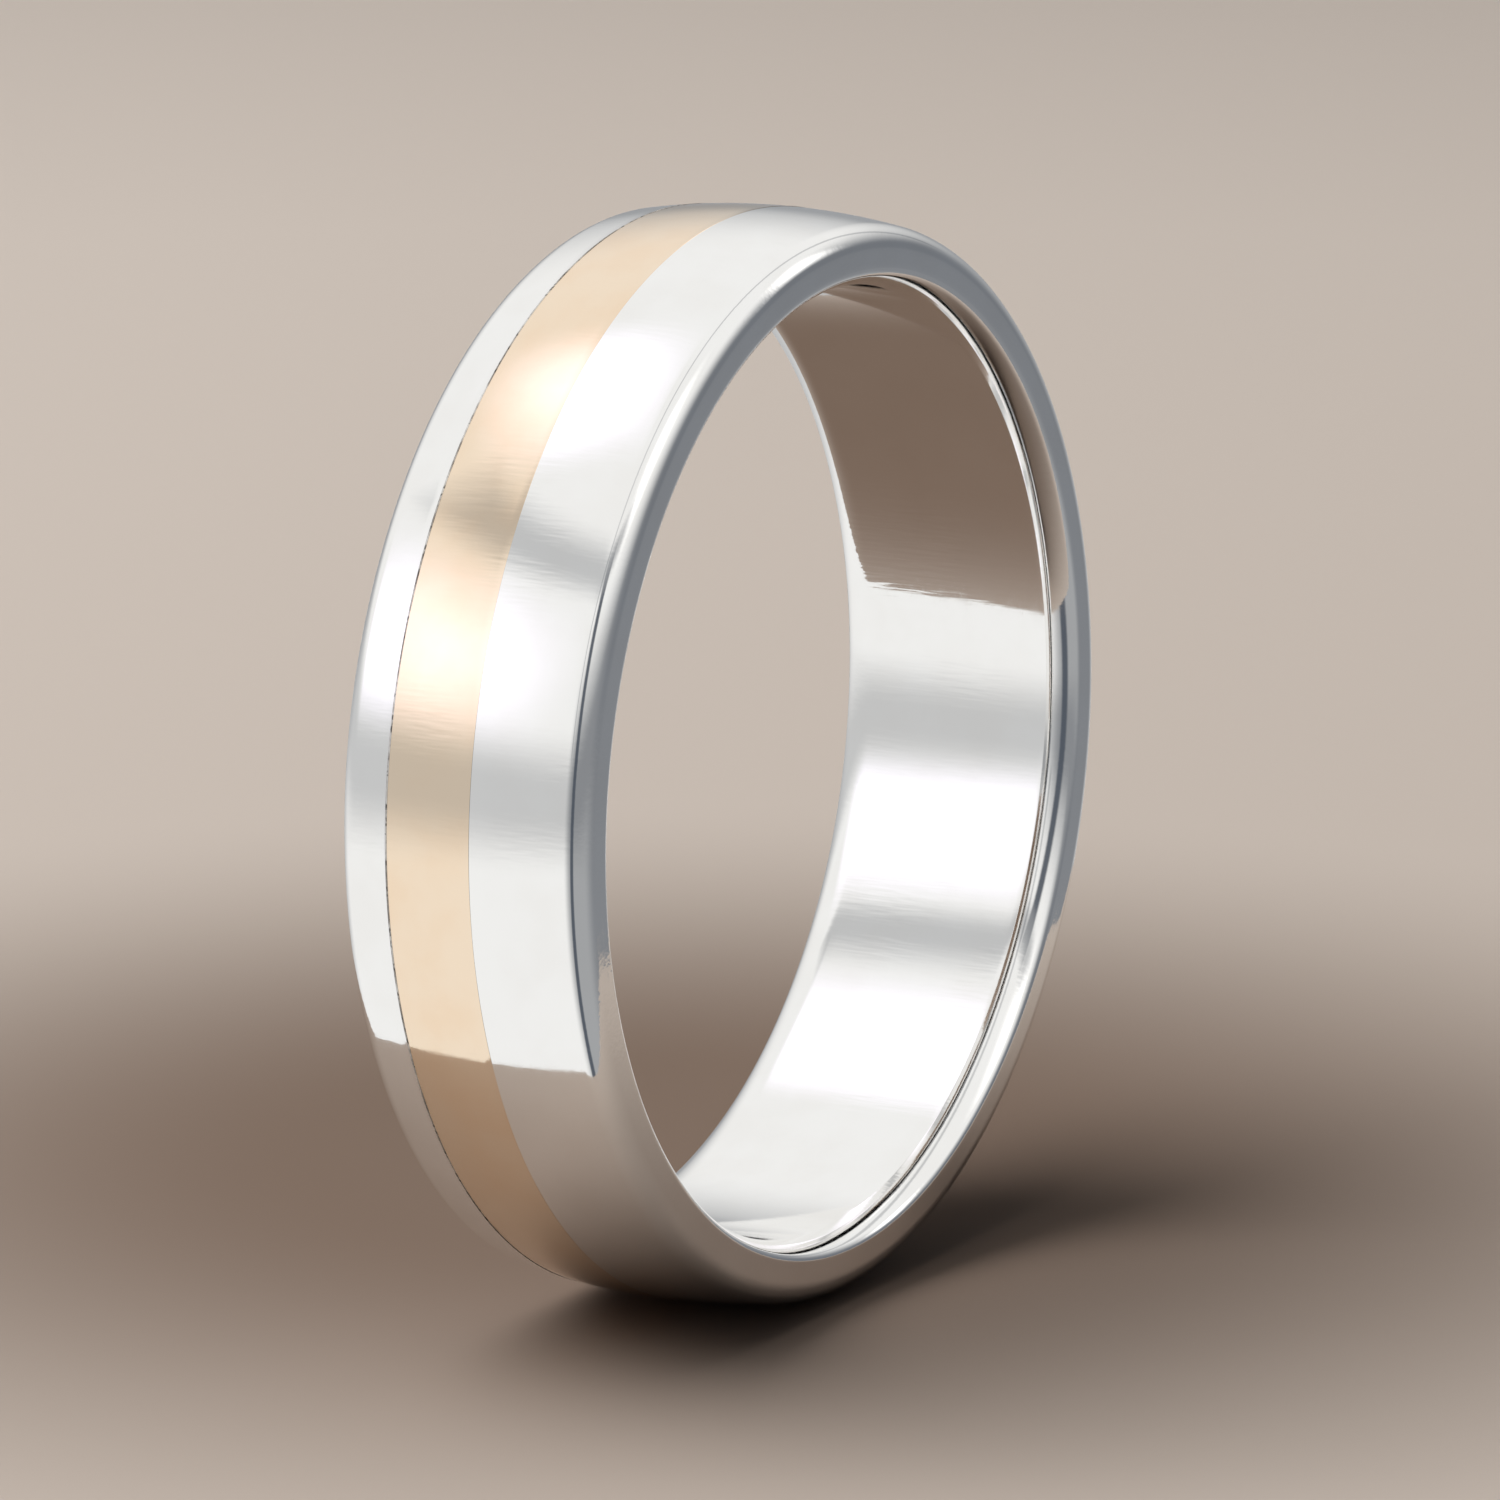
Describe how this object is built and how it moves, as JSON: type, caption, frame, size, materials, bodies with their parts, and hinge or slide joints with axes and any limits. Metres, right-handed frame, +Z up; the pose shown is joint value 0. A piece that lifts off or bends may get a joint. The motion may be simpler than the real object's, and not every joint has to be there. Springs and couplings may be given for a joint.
{
  "type": "wedding band",
  "caption": "Polished silver wedding band with low-domed outside, a flush yellow gold stripe set off centre and an eased finger bore.",
  "frame": {"origin": "middle of the finger bore, half way between the two side faces", "axes": "+Y along the bore from the wide silver rail to the narrow one, +Z up with the ring standing on its edge, +X to the right"},
  "size_m": [0.0242, 0.006, 0.0242],
  "materials": {
    "polished_silver": "polished",
    "yellow_gold": "polished",
    "silver_solder": "satin"
  },
  "bodies": {
    "root": {"silver_band": "polished_silver", "gold_inlay_ring": "yellow_gold", "silver_edge_ring": "polished_silver", "inlay_solder": "silver_solder", "edge_ring_solder": "silver_solder"}
  },
  "joints": []
}
